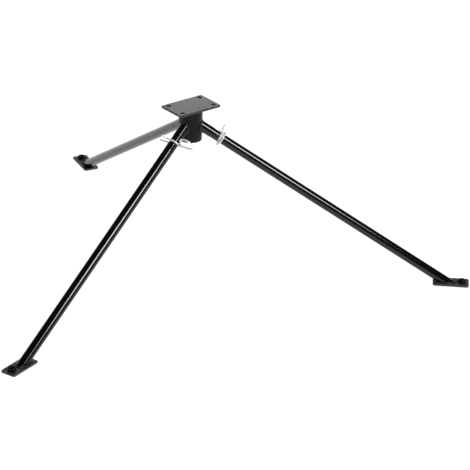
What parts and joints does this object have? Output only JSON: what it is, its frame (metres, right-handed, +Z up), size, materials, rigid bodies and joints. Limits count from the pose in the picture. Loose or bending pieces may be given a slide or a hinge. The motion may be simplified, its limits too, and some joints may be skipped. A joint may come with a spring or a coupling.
{
  "type": "tripod hunting stand",
  "caption": "Low tripod stand: a drilled seat plate that turns on a tube hub, with three detachable tube legs, two of them clipped, on flat feet.",
  "frame": {"origin": "centre of the seat plate's top face, on the swivel's axis; the ground is 452 mm below it", "axes": "+Z up, along the swivel; +X along the seat plate's long side, +Y across it, with the plate at its rest angle"},
  "size_m": [1.2493, 1.2309, 0.452],
  "materials": {
    "plate_paint": "satin black paint, lightly textured",
    "hub_paint": "satin black paint",
    "leg_paint": "gloss black paint",
    "zinc": "bright zinc plate",
    "bare_steel": "drawn steel tube, zinc plated",
    "nylon": "black nylon"
  },
  "bodies": {
    "stand": {"thrust_washer": "nylon", "hub_disc": "hub_paint", "hub_tube": "hub_paint", "front_socket": "leg_paint", "front_spigot": "bare_steel", "front_leg": "leg_paint", "front_foot_plate": "leg_paint", "front_foot_boss": "leg_paint", "right_socket": "leg_paint", "right_spigot": "bare_steel", "right_leg": "leg_paint", "right_foot_plate": "leg_paint", "right_foot_boss": "leg_paint", "back_socket": "leg_paint", "back_spigot": "bare_steel"},
    "seat": {"seat_plate": "plate_paint", "swivel_stud": "zinc", "stud_washer": "zinc", "lock_nut": "zinc"},
    "front_clip": {"front_clip": "zinc"},
    "right_clip": {"right_clip": "zinc"},
    "back_leg": {"back_leg": "leg_paint", "back_foot_plate": "leg_paint", "back_foot_boss": "leg_paint"}
  },
  "joints": [
    {"name": "seat_swivel", "type": "hinge", "parent": "stand", "child": "seat", "pos_m": [0, 0, 0], "axis": [0, 0, 1], "continuous": true},
    {"name": "front_clip_pull", "type": "slide", "parent": "stand", "child": "front_clip", "axis": [0.2857, -0.9583, 0], "range_m": [0, 0.056]},
    {"name": "right_clip_pull", "type": "slide", "parent": "stand", "child": "right_clip", "axis": [-0.6871, -0.7266, 0], "range_m": [0, 0.056]},
    {"name": "back_leg_pull", "type": "slide", "parent": "back_leg", "child": "stand", "axis": [-0.1978, -0.8303, 0.521], "range_m": [0, 0.045]}
  ]
}
